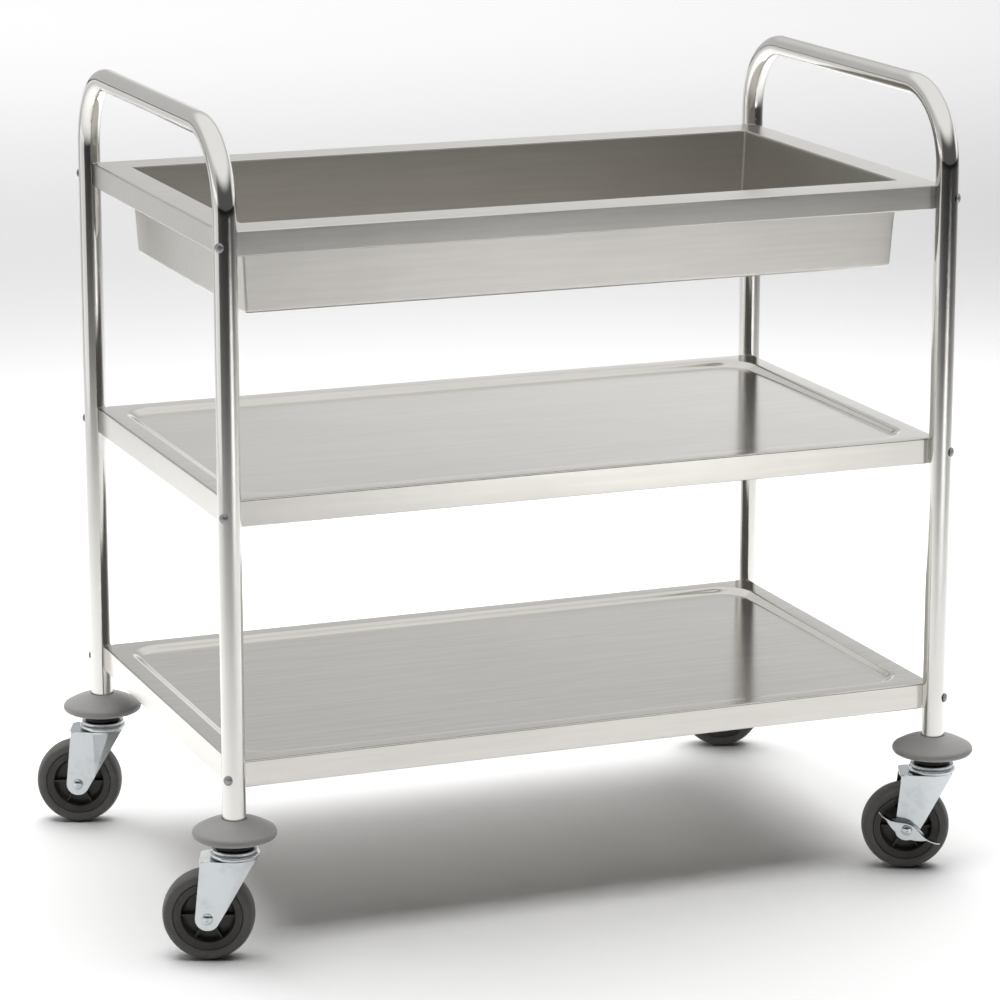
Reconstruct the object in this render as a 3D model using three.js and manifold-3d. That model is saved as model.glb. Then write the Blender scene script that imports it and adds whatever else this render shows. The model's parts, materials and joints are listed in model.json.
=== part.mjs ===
// A three-tier food service trolley: a deep tray above two shelves, held between two bent
// tube frames that end in swivel casters. Millimetres, +Z up, floor at z = 0, front at -Y.
import * as THREE from "three";
import { mergeVertices } from "three/addons/utils/BufferGeometryUtils.js";
import Module from "manifold-3d";

const wasm = await Module();
wasm.setup();

// ---- Driving dimensions ----------------------------------------------------------------------
const CLEARANCE = 0.3; // air between neighbouring pieces
const PIN_FIT = 0.6; // radial air round an axle or a stem in its faceted bore
const LENGTH = 860; // over the posts, along X
const DEPTH = 535; // over the posts, along Y
const TUBE_DIAMETER = 25.4;
const TUBE_WALL = 1.2;
const HANDLE_Z = 892.3; // centreline of the handle bar
const BEND_RADIUS = 85; // centreline radius where a post turns into the handle
const SHEET = 1; // stainless sheet of the shelves and the tray
const TOP_Z = 789; // top faces of the three tiers
const MIDDLE_Z = 503;
const BOTTOM_Z = 216.6;
const TOP_RIM = 27; // heights of the folded rims
const SHELF_RIM = 29.5;
const RIM_INSET_Y = 18.8; // rim face behind the outermost line of the posts
const RIM_INSET_X = 12;
const HEM = 10; // inward fold along the bottom of a rim
const NOTCH_FIT = 0.4; // air between a post and the notch that hugs it
const RECESS_BORDER = 20; // flat border round the pressed recess of a shelf
const RECESS_SLOPE = 14; // width of the sloped side of the recess
const RECESS_DEPTH = 6;
const RECESS_CORNER = 42;
const TRAY_BORDER_X = 35; // flat border round the deep tray
const TRAY_BORDER_Y = 47;
const TRAY_BOTTOM_Z = 691;
const TRAY_TAPER = 5.5; // how far each wall leans in from top to bottom
const TRAY_FLANGE = 12; // flange welded under the border
const SCREW_RADIUS = 2.5;
const SCREW_HEAD_RADIUS = 5.25;
const SCREW_HEAD_HEIGHT = 2.8;
const SCREW_FIT = 0.4; // radial air round a screw
const NUT_RADIUS = 4.5;
const NUT_HEIGHT = 5;
const SCREW_TIP = 1.5; // thread showing past the nut
const CUT_PAST = 2; // how far a cutting rod runs past what it cuts

const WHEEL_RADIUS = 50;
const TYRE_WIDTH = 31;
const TYRE_SEAT_RADIUS = 37.5; // where the tyre sits on the hub
const HUB_OPENING_RADIUS = 29;
const HUB_RIM_WIDTH = 28;
const HUB_WEB = 3;
const HUB_BOSS_RADIUS = 9;
const HUB_SIDE_PLAY = 1.8; // air between the boss and a fork leg
const TYRE_SIDE_STEP = 2; // the side next to the hub lies this far in,
const TYRE_SIDE_BEVEL = 5; // and rises over this width
const TYRE_SHOULDER = 2.5; // the tread edge below the tread,
const TYRE_EDGE = 1.5; // and in from the side
const TYRE_CROWN = 0.5; // rise of the tread from its quarter lines to its middle
const RIB_COUNT = 6;
const RIB_THICKNESS = 2;
const RIB_WIDTH = 20;
const RIB_ROOT = 1; // how far a rib runs into the boss and the rim
const BUSH_RADIUS = 6;
const BUSH_SIDE_PLAY = 1; // air between the bush and a fork leg
const AXLE_RADIUS = 4;
const AXLE_HEAD_RADIUS = 6.2;
const AXLE_HEAD_HEIGHT = 3;
const TRAIL = 29; // axle behind the swivel axis
const REST_ANGLE = 22; // degrees the casters stand turned at rest
const FORK_GAP = 38; // between the inner faces of the fork legs
const FORK_PLATE = 2.5;
const FORK_TOP_Z = 114;
const FORK_NOSE = 37.5; // crown plate in front of the swivel axis
const FORK_NOSE_CORNER = 8;
const FORK_HEAD_LIP = 2.5; // round head of the crown beyond the outer faces of the legs
const FORK_FOOT_RADIUS = 13.2; // round end of a leg about the axle
const FORK_SHOULDER = 22.5; // where the slanted edge of a leg meets the crown
const FORK_BROW = 36; // where the steep edge of a leg meets the crown
const HEAD_LIP = 3; // race cover beyond the round head of the crown
const HEAD_HEIGHT = 10.2;
const HEAD_ROUND = 2.5; // chamfer along the foot of the race cover
const HEAD_TAPER = 3.5; // how far it narrows towards its top
const SEAL_RADIUS = 21;
const SEAL_HEIGHT = 11;
const STEM_RADIUS = 6;
const STEM_HEAD_RADIUS = 9;
const STEM_HEAD_HEIGHT = 6;
const CONE_HEIGHT = 8; // clamping cone above the expander
const CONE_LIP = 1; // foot of the cone beyond the stem
const EXPANDER_HEIGHT = 42;
const BUMPER_RADIUS = 45.7;
const BUMPER_HEIGHT = 21;
const BUMPER_EDGE = 5; // widest line above the underside
const PEDAL_PLATE = 2;
const PEDAL_HALF_LENGTH = 39.5;
const PEDAL_FACE_HALF_LENGTH = 27;
const PEDAL_FACE_HALF_HEIGHT = 9.5;
const PEDAL_WING_WIDTH = 13;
const PEDAL_RIDGE_LOW = 2; // top of the strip above the rivet, at the wings
const PEDAL_RIDGE_SPREAD = 0.62; // how far the raised middle reaches, of the face
const PEDAL_ANGLE = 28; // degrees, brake released

const ROUND = 16; // facets round a turned piece
const WHEEL_ROUND = 20; // the tyre, the hub and the bush nest, so they share it
const SMALL_ROUND = 8; // facets round a pin or a hole
const TUBE_FACETS = 16;
const BEND_STEPS = 5;
const CORNER_STEPS = 4; // steps round a quarter turn of a flat outline
const DOME_STEPS = 3;
const PEDAL_STEPS = 8;

// ---- Places worked out from them -------------------------------------------------------------
const TUBE_RADIUS = TUBE_DIAMETER / 2;
const POST_X = LENGTH / 2 - TUBE_RADIUS;
const POST_Y = DEPTH / 2 - TUBE_RADIUS;
const SHELF_X = LENGTH / 2 - RIM_INSET_X; // half sizes of a shelf
const SHELF_Y = DEPTH / 2 - RIM_INSET_Y;
const NOTCH_RADIUS = TUBE_RADIUS + NOTCH_FIT;
const FORK_HALF_OUT = FORK_GAP / 2 + FORK_PLATE;
const FORK_HEAD_RADIUS = FORK_HALF_OUT + FORK_HEAD_LIP;
const HEAD_RADIUS = FORK_HEAD_RADIUS + HEAD_LIP;
const HEAD_Z = FORK_TOP_Z + CLEARANCE;
const SEAL_Z = HEAD_Z + HEAD_HEIGHT + CLEARANCE;
const TUBE_END_Z = SEAL_Z + SEAL_HEIGHT + CLEARANCE;
const DIAGONAL = Math.PI / 4;
const TIERS = [
  { name: "top", z: TOP_Z, rim: TOP_RIM },
  { name: "middle", z: MIDDLE_Z, rim: SHELF_RIM },
  { name: "bottom", z: BOTTOM_Z, rim: SHELF_RIM },
];
const CORNERS = [
  { name: "front_left", x: -1, y: -1, braked: false },
  { name: "front_right", x: 1, y: -1, braked: true },
  { name: "back_left", x: -1, y: 1, braked: false },
  { name: "back_right", x: 1, y: 1, braked: true },
];

// ---- Finishes --------------------------------------------------------------------------------
const finish = (color, roughness, metalness) => () =>
  new THREE.MeshStandardMaterial({ color, roughness, metalness });
const polishedSteel = finish("#d4d2ce", 0.14, 1);
const brushedSteel = finish("#c9c7c2", 0.34, 1);
const zincPlate = finish("#c3cbd0", 0.22, 1);
const screwSteel = finish("#8f9194", 0.4, 1);
const greyPlastic = finish("#8b8986", 0.45, 0);
const greyRubber = finish("#55534f", 0.6, 0);
const darkPlastic = finish("#35322e", 0.55, 0);
const blackRubber = finish("#1d1e1f", 0.5, 0);
const nylon = finish("#e4e2da", 0.5, 0);

// ---- Solids from geometry --------------------------------------------------------------------
function solid(geometry) {
  const bare = geometry.clone();
  bare.deleteAttribute("normal");
  bare.deleteAttribute("uv");
  const merged = mergeVertices(bare, 1e-4);
  return new wasm.Manifold(
    new wasm.Mesh({
      numProp: 3,
      vertProperties: new Float32Array(merged.attributes.position.array),
      triVerts: new Uint32Array(merged.index.array),
    }),
  );
}

function geometryOf(manifold) {
  const mesh = manifold.getMesh();
  const geometry = new THREE.BufferGeometry();
  geometry.setAttribute("position", new THREE.BufferAttribute(mesh.vertProperties, 3));
  geometry.setIndex(new THREE.BufferAttribute(mesh.triVerts, 1));
  const facets = geometry.toNonIndexed();
  facets.computeVertexNormals();
  return facets;
}

function piece(name, shape, material) {
  const geometry = shape.isBufferGeometry ? shape : geometryOf(shape);
  const mesh = new THREE.Mesh(geometry, material());
  mesh.name = name;
  return mesh;
}

// A turned shape about Z. The profile is [radius, z] pairs, anticlockwise seen with z upwards.
function turned(profile, facets = ROUND) {
  const points = profile.map(([radius, z]) => new THREE.Vector2(radius, z));
  const open = profile[0][0] > 0;
  if (open) points.push(points[0].clone());
  return new THREE.LatheGeometry(points, facets).rotateX(Math.PI / 2);
}

// Profile points up a quarter of an ellipse, from its widest ring to its crown.
function dome(inner, outer, low, rise) {
  const points = [];
  for (let step = 0; step < DOME_STEPS; step += 1) {
    const angle = (step / DOME_STEPS) * (Math.PI / 2);
    points.push([inner + (outer - inner) * Math.cos(angle), low + rise * Math.sin(angle)]);
  }
  points.push([inner, low + rise]);
  return points;
}

// A round pin or hole about Z, from one height to another.
function rod(radius, low, high, facets = SMALL_ROUND) {
  return turned([[0, low], [radius, low], [radius, high], [0, high]], facets);
}

// A flat plate: an outline in XY, from one height to another.
function slab(outline, low, high, curveSegments = CORNER_STEPS) {
  const geometry = new THREE.ExtrudeGeometry(outline, {
    depth: high - low,
    bevelEnabled: false,
    curveSegments,
  });
  return geometry.translate(0, 0, low);
}

// A standing plate: an outline in XZ, from one y to another.
function uprightPlate(outline, near, far, curveSegments = CORNER_STEPS) {
  const geometry = new THREE.ExtrudeGeometry(outline, {
    depth: far - near,
    bevelEnabled: false,
    curveSegments,
  });
  return geometry.rotateX(Math.PI / 2).translate(0, far, 0);
}

function roundedRectangle(halfX, halfY, radius) {
  const shape = new THREE.Shape();
  shape.absarc(halfX - radius, -halfY + radius, radius, -Math.PI / 2, 0, false);
  shape.absarc(halfX - radius, halfY - radius, radius, 0, Math.PI / 2, false);
  shape.absarc(-halfX + radius, halfY - radius, radius, Math.PI / 2, Math.PI, false);
  shape.absarc(-halfX + radius, -halfY + radius, radius, Math.PI, 1.5 * Math.PI, false);
  return shape;
}

function rectangle(halfX, halfY) {
  return new THREE.Shape([
    new THREE.Vector2(halfX, -halfY),
    new THREE.Vector2(halfX, halfY),
    new THREE.Vector2(-halfX, halfY),
    new THREE.Vector2(-halfX, -halfY),
  ]);
}

// A pan that narrows downwards from its mouth at z = top, and runs straight up for a little above.
function pan(outline, taper, top, drop, above) {
  const geometry = new THREE.ExtrudeGeometry(outline, {
    depth: above,
    bevelEnabled: true,
    bevelThickness: drop,
    bevelSize: taper,
    bevelOffset: -taper,
    bevelSegments: 1,
    curveSegments: CORNER_STEPS,
  });
  const lid = new THREE.BoxGeometry(2 * LENGTH, 2 * DEPTH, 2 * drop);
  lid.translate(0, 0, above + drop);
  return solid(geometry.translate(0, 0, top)).subtract(solid(lid.translate(0, 0, top)));
}

// ---- Bent tube frames ------------------------------------------------------------------------
// The centreline as stations: a straight run takes one step and a bend takes several.
class BentTubePath extends THREE.Curve {
  constructor() {
    super();
    this.stations = [];
    const bendY = POST_Y - BEND_RADIUS;
    const bendZ = HANDLE_Z - BEND_RADIUS;
    const add = (y, z, ty, tz) =>
      this.stations.push({
        point: new THREE.Vector3(0, y, z),
        tangent: new THREE.Vector3(0, ty, tz),
      });
    add(-POST_Y, TUBE_END_Z, 0, 1);
    for (let step = 0; step <= BEND_STEPS; step += 1) {
      const turn = (step / BEND_STEPS) * (Math.PI / 2);
      const y = -bendY - BEND_RADIUS * Math.cos(turn);
      const z = bendZ + BEND_RADIUS * Math.sin(turn);
      add(y, z, Math.sin(turn), Math.cos(turn));
    }
    for (let step = 0; step <= BEND_STEPS; step += 1) {
      const turn = (step / BEND_STEPS) * (Math.PI / 2);
      const y = bendY + BEND_RADIUS * Math.sin(turn);
      const z = bendZ + BEND_RADIUS * Math.cos(turn);
      add(y, z, Math.cos(turn), -Math.sin(turn));
    }
    add(POST_Y, TUBE_END_Z, 0, -1);
  }

  get steps() {
    return this.stations.length - 1;
  }

  station(fraction) {
    return this.stations[Math.round(fraction * this.steps)];
  }

  getPointAt(fraction, target = new THREE.Vector3()) {
    return target.copy(this.station(fraction).point);
  }

  getTangentAt(fraction, target = new THREE.Vector3()) {
    return target.copy(this.station(fraction).tangent);
  }
}

// A pin through the middle of a post along the diagonal that points out of the trolley.
function diagonalPin(radius, corner, y, z) {
  const reach = 2 * TUBE_RADIUS;
  const pin = rod(radius, -reach, reach).rotateY(Math.PI / 2);
  return solid(pin.rotateZ(Math.atan2(corner.y, corner.x)).translate(0, y, z));
}

function bentTube(side) {
  const path = new BentTubePath();
  const section = new THREE.Shape();
  section.absarc(0, 0, TUBE_RADIUS, 0, 2 * Math.PI, false);
  const bore = new THREE.Path();
  bore.absarc(0, 0, TUBE_RADIUS - TUBE_WALL, 0, 2 * Math.PI, true);
  section.holes.push(bore);
  let tube = solid(
    new THREE.ExtrudeGeometry(section, {
      steps: path.steps,
      extrudePath: path,
      curveSegments: TUBE_FACETS / 2,
    }),
  );
  for (const corner of CORNERS.filter((item) => item.x === side)) {
    for (const tier of TIERS) {
      const z = tier.z - tier.rim / 2;
      const hole = diagonalPin(SCREW_RADIUS + SCREW_FIT, corner, corner.y * POST_Y, z);
      tube = tube.subtract(hole);
    }
  }
  return tube;
}

// ---- Shelves ---------------------------------------------------------------------------------
// A rectangle whose corners are hollowed by circles about the posts.
function notchedOutline(halfX, halfY, notch) {
  const start = Math.atan2(-Math.sqrt(notch ** 2 - (POST_X - halfX) ** 2), halfX - POST_X);
  const end = Math.atan2(halfY - POST_Y, -Math.sqrt(notch ** 2 - (POST_Y - halfY) ** 2));
  const arc = [];
  for (let step = 0; step <= CORNER_STEPS; step += 1) {
    const angle = start + ((end - start) * step) / CORNER_STEPS;
    const x = POST_X + notch * Math.cos(angle);
    const y = POST_Y + notch * Math.sin(angle);
    arc.push(new THREE.Vector2(x, y));
  }
  const mirrored = (sx, sy, points) =>
    points.map((point) => new THREE.Vector2(sx * point.x, sy * point.y));
  const backwards = [...arc].reverse();
  return new THREE.Shape([
    ...arc,
    ...mirrored(-1, 1, backwards),
    ...mirrored(-1, -1, arc),
    ...mirrored(1, -1, backwards),
  ]);
}

// The folded sheet of a tier: flat top, rim all round, inward hem, hollow below.
function foldedRim(tier) {
  const low = tier.z - tier.rim;
  const body = solid(slab(notchedOutline(SHELF_X, SHELF_Y, NOTCH_RADIUS), low, tier.z));
  const inside = notchedOutline(SHELF_X - SHEET, SHELF_Y - SHEET, NOTCH_RADIUS + SHEET);
  const hollow = solid(slab(inside, low + SHEET, tier.z - SHEET));
  const mouthX = SHELF_X - HEM - NUT_HEIGHT;
  const mouthY = SHELF_Y - HEM - NUT_HEIGHT;
  const mouth = solid(slab(roundedRectangle(mouthX, mouthY, HEM), low - SHEET, low + 2 * SHEET));
  return body.subtract(hollow).subtract(mouth);
}

// Welded nuts behind the four notches, and the holes for the screws through both.
function withNuts(rim, tier) {
  const z = tier.z - tier.rim / 2;
  let result = rim;
  for (const corner of CORNERS) {
    const inward = Math.atan2(-corner.y, -corner.x);
    const near = NOTCH_RADIUS + SHEET / 2;
    const far = NOTCH_RADIUS + SHEET + NUT_HEIGHT;
    const hole = rod(SCREW_RADIUS + SCREW_FIT, TUBE_RADIUS - CUT_PAST, far + CUT_PAST);
    const place = (geometry) =>
      solid(
        geometry
          .rotateY(Math.PI / 2)
          .rotateZ(inward)
          .translate(corner.x * POST_X, corner.y * POST_Y, z),
      );
    result = result.add(place(rod(NUT_RADIUS, near, far))).subtract(place(hole));
  }
  return result;
}

function pressedShelf(tier) {
  const mouth = (grow) =>
    roundedRectangle(
      SHELF_X - RECESS_BORDER + grow,
      SHELF_Y - RECESS_BORDER + grow,
      RECESS_CORNER + grow,
    );
  const buried = SHEET / 2;
  const underTop = tier.z - buried;
  const under = pan(mouth(SHEET), RECESS_SLOPE, underTop, RECESS_DEPTH + buried, buried / 2);
  const air = pan(mouth(0), RECESS_SLOPE, tier.z, RECESS_DEPTH, SHEET);
  return withNuts(foldedRim(tier).add(under).subtract(air), tier);
}

function trayFrame(tier) {
  const opening = rectangle(SHELF_X - TRAY_BORDER_X, SHELF_Y - TRAY_BORDER_Y);
  const cut = solid(slab(opening, tier.z - 2 * SHEET, tier.z + SHEET));
  return withNuts(foldedRim(tier).subtract(cut), tier);
}

function deepTray(tier) {
  const halfX = SHELF_X - TRAY_BORDER_X;
  const halfY = SHELF_Y - TRAY_BORDER_Y;
  const high = tier.z - SHEET - CLEARANCE;
  const shoulder = high - SHEET;
  const drop = shoulder - TRAY_BOTTOM_Z;
  const outline = rectangle(halfX + SHEET, halfY + SHEET);
  const outside = pan(outline, TRAY_TAPER, shoulder, drop, SHEET / 2);
  const inside = pan(rectangle(halfX, halfY), TRAY_TAPER, shoulder, drop - SHEET, 2 * SHEET);
  const flange = rectangle(halfX + TRAY_FLANGE, halfY + TRAY_FLANGE);
  return outside.add(solid(slab(flange, shoulder, high))).subtract(inside);
}

// ---- Screws ----------------------------------------------------------------------------------
function shelfScrew() {
  const base = TUBE_RADIUS + CLEARANCE;
  const tip = NOTCH_RADIUS + SHEET + NUT_HEIGHT + SCREW_TIP;
  const profile = [
    [0, -tip],
    [SCREW_RADIUS, -tip],
    [SCREW_RADIUS, base],
    ...dome(0, SCREW_HEAD_RADIUS, base, SCREW_HEAD_HEIGHT),
  ];
  return turned(profile, SMALL_ROUND).rotateY(Math.PI / 2);
}

// ---- Casters, about the swivel axis, with the wheel trailing towards -X ------------------------
function bumperDisc() {
  const bore = TUBE_RADIUS + CLEARANCE;
  const low = TUBE_END_Z;
  return turned([
    [bore, low],
    [BUMPER_RADIUS - BUMPER_EDGE, low],
    ...dome(bore, BUMPER_RADIUS, low + BUMPER_EDGE, BUMPER_HEIGHT - BUMPER_EDGE),
  ]);
}

function expanderSleeve() {
  const outside = TUBE_RADIUS - TUBE_WALL - CLEARANCE;
  const inside = STEM_RADIUS + PIN_FIT;
  const low = TUBE_END_Z;
  const high = TUBE_END_Z + EXPANDER_HEIGHT;
  return turned([[inside, low], [outside, low], [outside, high], [inside, high]], TUBE_FACETS);
}

function stemBolt() {
  const headTop = FORK_TOP_Z - FORK_PLATE - CLEARANCE;
  const coneLow = TUBE_END_Z + EXPANDER_HEIGHT + CLEARANCE;
  const coneRadius = TUBE_RADIUS - TUBE_WALL - 3 * CLEARANCE;
  return turned(
    [
      [0, headTop - STEM_HEAD_HEIGHT],
      [STEM_HEAD_RADIUS, headTop - STEM_HEAD_HEIGHT],
      [STEM_HEAD_RADIUS, headTop],
      [STEM_RADIUS, headTop],
      [STEM_RADIUS, coneLow],
      [STEM_RADIUS + CONE_LIP, coneLow],
      [coneRadius, coneLow + CONE_HEIGHT],
      [0, coneLow + CONE_HEIGHT],
    ],
    SMALL_ROUND,
  );
}

function sealRing() {
  const inside = STEM_RADIUS + PIN_FIT;
  const high = SEAL_Z + SEAL_HEIGHT;
  return turned([
    [inside, SEAL_Z],
    [SEAL_RADIUS, SEAL_Z],
    [SEAL_RADIUS, high],
    [inside, high],
  ]);
}

// The upper race cover, widest near its foot.
function swivelHead() {
  const inside = STEM_RADIUS + PIN_FIT;
  const high = HEAD_Z + HEAD_HEIGHT;
  return turned([
    [inside, HEAD_Z],
    [HEAD_RADIUS - HEAD_ROUND, HEAD_Z],
    [HEAD_RADIUS, HEAD_Z + HEAD_ROUND],
    [HEAD_RADIUS - HEAD_TAPER, high],
    [inside, high],
  ]);
}

// Where a line from a point touches a circle, as an angle about the circle's centre.
function touchAngle(pointX, pointZ, centreX, centreZ, radius, side) {
  const away = Math.atan2(pointZ - centreZ, pointX - centreX);
  const distance = Math.hypot(pointX - centreX, pointZ - centreZ);
  return away + side * Math.acos(radius / distance);
}

function forkLeg(near, far) {
  const top = FORK_TOP_Z - FORK_PLATE / 2;
  const outline = new THREE.Shape();
  const back = touchAngle(FORK_SHOULDER, top, -TRAIL, WHEEL_RADIUS, FORK_FOOT_RADIUS, -1);
  const front = touchAngle(-FORK_BROW, top, -TRAIL, WHEEL_RADIUS, FORK_FOOT_RADIUS, 1);
  outline.absarc(-TRAIL, WHEEL_RADIUS, FORK_FOOT_RADIUS, front, back, false);
  outline.lineTo(FORK_SHOULDER, top);
  outline.lineTo(-FORK_BROW, top);
  const eye = new THREE.Path();
  eye.absarc(-TRAIL, WHEEL_RADIUS, AXLE_RADIUS + PIN_FIT, 0, 2 * Math.PI, true);
  outline.holes.push(eye);
  return solid(uprightPlate(outline, near, far));
}

function fork() {
  const halfOut = FORK_HALF_OUT;
  const meet = Math.atan2(halfOut, -Math.sqrt(FORK_HEAD_RADIUS ** 2 - halfOut ** 2));
  const corner = FORK_NOSE_CORNER;
  const crown = new THREE.Shape();
  crown.absarc(0, 0, FORK_HEAD_RADIUS, -meet, meet, false);
  crown.absarc(-FORK_NOSE + corner, halfOut - corner, corner, Math.PI / 2, Math.PI, false);
  crown.absarc(-FORK_NOSE + corner, corner - halfOut, corner, Math.PI, 1.5 * Math.PI, false);
  const bore = new THREE.Path();
  bore.absarc(0, 0, STEM_RADIUS + PIN_FIT, 0, 2 * Math.PI, true);
  crown.holes.push(bore);
  return solid(slab(crown, FORK_TOP_Z - FORK_PLATE, FORK_TOP_Z))
    .add(forkLeg(-halfOut, -halfOut + FORK_PLATE))
    .add(forkLeg(halfOut - FORK_PLATE, halfOut));
}

// Axle rivet along Y; on a braked caster it also holds the pedal on the front side.
function axleRivet(braked) {
  const back = FORK_HALF_OUT + CLEARANCE;
  const front = back + (braked ? PEDAL_PLATE + CLEARANCE : 0);
  const profile = [
    ...dome(0, AXLE_HEAD_RADIUS, -back, -AXLE_HEAD_HEIGHT).reverse(),
    [AXLE_RADIUS, -back],
    [AXLE_RADIUS, front],
    ...dome(0, AXLE_HEAD_RADIUS, front, AXLE_HEAD_HEIGHT),
  ];
  return turned(profile, SMALL_ROUND);
}

function tyre() {
  const half = TYRE_WIDTH / 2;
  const seat = TYRE_SEAT_RADIUS + CLEARANCE;
  const right = [
    [WHEEL_RADIUS - TYRE_CROWN, half / 2],
    [WHEEL_RADIUS - TYRE_SHOULDER, half - TYRE_EDGE],
    [seat + TYRE_SIDE_BEVEL, half],
    [seat, half - TYRE_SIDE_STEP],
  ];
  const left = right.map(([radius, y]) => [radius, -y]).reverse();
  return turned([...left, [WHEEL_RADIUS, 0], ...right], WHEEL_ROUND);
}

function hub() {
  const half = HUB_RIM_WIDTH / 2;
  const web = HUB_WEB / 2;
  const boss = FORK_GAP / 2 - HUB_SIDE_PLAY;
  const bore = BUSH_RADIUS + CLEARANCE;
  const right = [
    [TYRE_SEAT_RADIUS, half],
    [HUB_OPENING_RADIUS, half],
    [HUB_OPENING_RADIUS, web],
    [HUB_BOSS_RADIUS, web],
    [HUB_BOSS_RADIUS, boss],
    [bore, boss],
  ];
  const left = right.map(([radius, y]) => [radius, -y]).reverse();
  let wheel = solid(turned([...left, ...right], WHEEL_ROUND));
  const inner = HUB_BOSS_RADIUS - RIB_ROOT;
  const outer = HUB_OPENING_RADIUS + RIB_ROOT;
  for (let index = 0; index < RIB_COUNT; index += 1) {
    const rib = new THREE.BoxGeometry(outer - inner, RIB_THICKNESS, RIB_WIDTH);
    rib.translate((outer + inner) / 2, 0, 0).rotateZ((index * 2 * Math.PI) / RIB_COUNT);
    wheel = wheel.add(solid(rib));
  }
  return wheel;
}

function bush() {
  const half = FORK_GAP / 2 - BUSH_SIDE_PLAY;
  const inside = AXLE_RADIUS + PIN_FIT;
  const profile = [[inside, -half], [BUSH_RADIUS, -half], [BUSH_RADIUS, half], [inside, half]];
  return turned(profile, SMALL_ROUND);
}

// A lens-shaped face against the leg, and a folded-out strip whose ends are the two foot wings.
function brakePedal() {
  const face = new THREE.Shape();
  const halfLength = PEDAL_FACE_HALF_LENGTH;
  const halfHeight = PEDAL_FACE_HALF_HEIGHT;
  const bend = (halfLength ** 2 + halfHeight ** 2) / (2 * halfHeight);
  const swing = Math.asin(halfLength / bend);
  const up = Math.PI / 2;
  face.absarc(0, halfHeight - bend, bend, up - swing, up + swing, false);
  face.absarc(0, bend - halfHeight, bend, -up - swing, -up + swing, false);
  const eye = new THREE.Path();
  eye.absarc(0, 0, AXLE_RADIUS + PIN_FIT, 0, 2 * Math.PI, true);
  face.holes.push(eye);

  const rise = halfHeight - PEDAL_RIDGE_LOW;
  const spread = PEDAL_RIDGE_SPREAD * halfLength;
  const ridge = (x) => PEDAL_RIDGE_LOW + rise * Math.exp(-((x / spread) ** 2));
  const upper = [];
  const lower = [];
  for (let step = 0; step <= PEDAL_STEPS; step += 1) {
    const x = PEDAL_HALF_LENGTH * (1 - (2 * step) / PEDAL_STEPS);
    upper.push(new THREE.Vector2(x, ridge(x)));
    lower.push(new THREE.Vector2(x, ridge(x) - PEDAL_PLATE));
  }
  const strip = new THREE.Shape([...upper, ...lower.reverse()]);
  const near = -PEDAL_WING_WIDTH;
  return solid(uprightPlate(face, -PEDAL_PLATE, 0)).add(
    solid(uprightPlate(strip, near, -CLEARANCE)),
  );
}

function caster(corner) {
  const group = new THREE.Group();
  const named = (part) => corner.name + "_" + part;
  const fixed = [
    piece(named("bumper"), bumperDisc(), greyPlastic),
    piece(named("expander"), expanderSleeve(), nylon),
    piece(named("stem_bolt"), stemBolt(), zincPlate),
    piece(named("seal_ring"), sealRing(), blackRubber),
    piece(named("swivel_head"), swivelHead(), zincPlate),
  ];
  group.add(...fixed, piece(named("fork"), fork(), zincPlate));
  const axleLine = new THREE.Group();
  axleLine.position.set(-TRAIL, 0, WHEEL_RADIUS);
  const turnedAboutY = new THREE.Group();
  turnedAboutY.rotation.x = Math.PI / 2;
  turnedAboutY.add(
    piece(named("axle"), axleRivet(corner.braked), zincPlate),
    piece(named("tyre"), tyre(), greyRubber),
    piece(named("hub"), hub(), darkPlastic),
    piece(named("bush"), bush(), nylon),
  );
  axleLine.add(turnedAboutY);
  if (corner.braked) {
    const pedal = piece(named("brake_pedal"), brakePedal(), zincPlate);
    pedal.position.y = -(FORK_HALF_OUT + CLEARANCE);
    pedal.rotation.y = THREE.MathUtils.degToRad(PEDAL_ANGLE);
    axleLine.add(pedal);
  }
  group.add(axleLine);
  group.position.set(corner.x * POST_X, corner.y * POST_Y, 0);
  group.rotation.z = -THREE.MathUtils.degToRad(REST_ANGLE);
  return group;
}

// ---- Assembly --------------------------------------------------------------------------------
const structure = new THREE.Group();
for (const [side, name] of [[-1, "left"], [1, "right"]]) {
  const tube = piece(name + "_frame_tube", bentTube(side), polishedSteel);
  tube.position.x = side * POST_X;
  structure.add(tube);
}
const [topTier, middleTier, bottomTier] = TIERS;
structure.add(
  piece("top_tray_frame", trayFrame(topTier), brushedSteel),
  piece("deep_tray", deepTray(topTier), brushedSteel),
  piece("middle_shelf", pressedShelf(middleTier), brushedSteel),
  piece("bottom_shelf", pressedShelf(bottomTier), brushedSteel),
);
for (const tier of TIERS) {
  for (const corner of CORNERS) {
    const screw = piece(tier.name + "_" + corner.name + "_screw", shelfScrew(), screwSteel);
    screw.position.set(corner.x * POST_X, corner.y * POST_Y, tier.z - tier.rim / 2);
    screw.rotation.z = Math.atan2(corner.y, corner.x);
    structure.add(screw);
  }
}
for (const corner of CORNERS) structure.add(caster(corner));

// The casters stand turned the same way, so the footprint reaches further on the left:
// the whole is moved so that the origin is at the middle of its box.
const trolley = new THREE.Group();
trolley.name = "food_service_trolley";
trolley.add(structure);
const footprint = new THREE.Box3().setFromObject(structure, true);
structure.position.x = -(footprint.min.x + footprint.max.x) / 2;
structure.position.y = -(footprint.min.y + footprint.max.y) / 2;
structure.position.z = -footprint.min.z;

export default trolley;
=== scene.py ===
import json
import math
from contextlib import contextmanager

import bmesh
import bpy
from mathutils import Matrix, Vector


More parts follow.
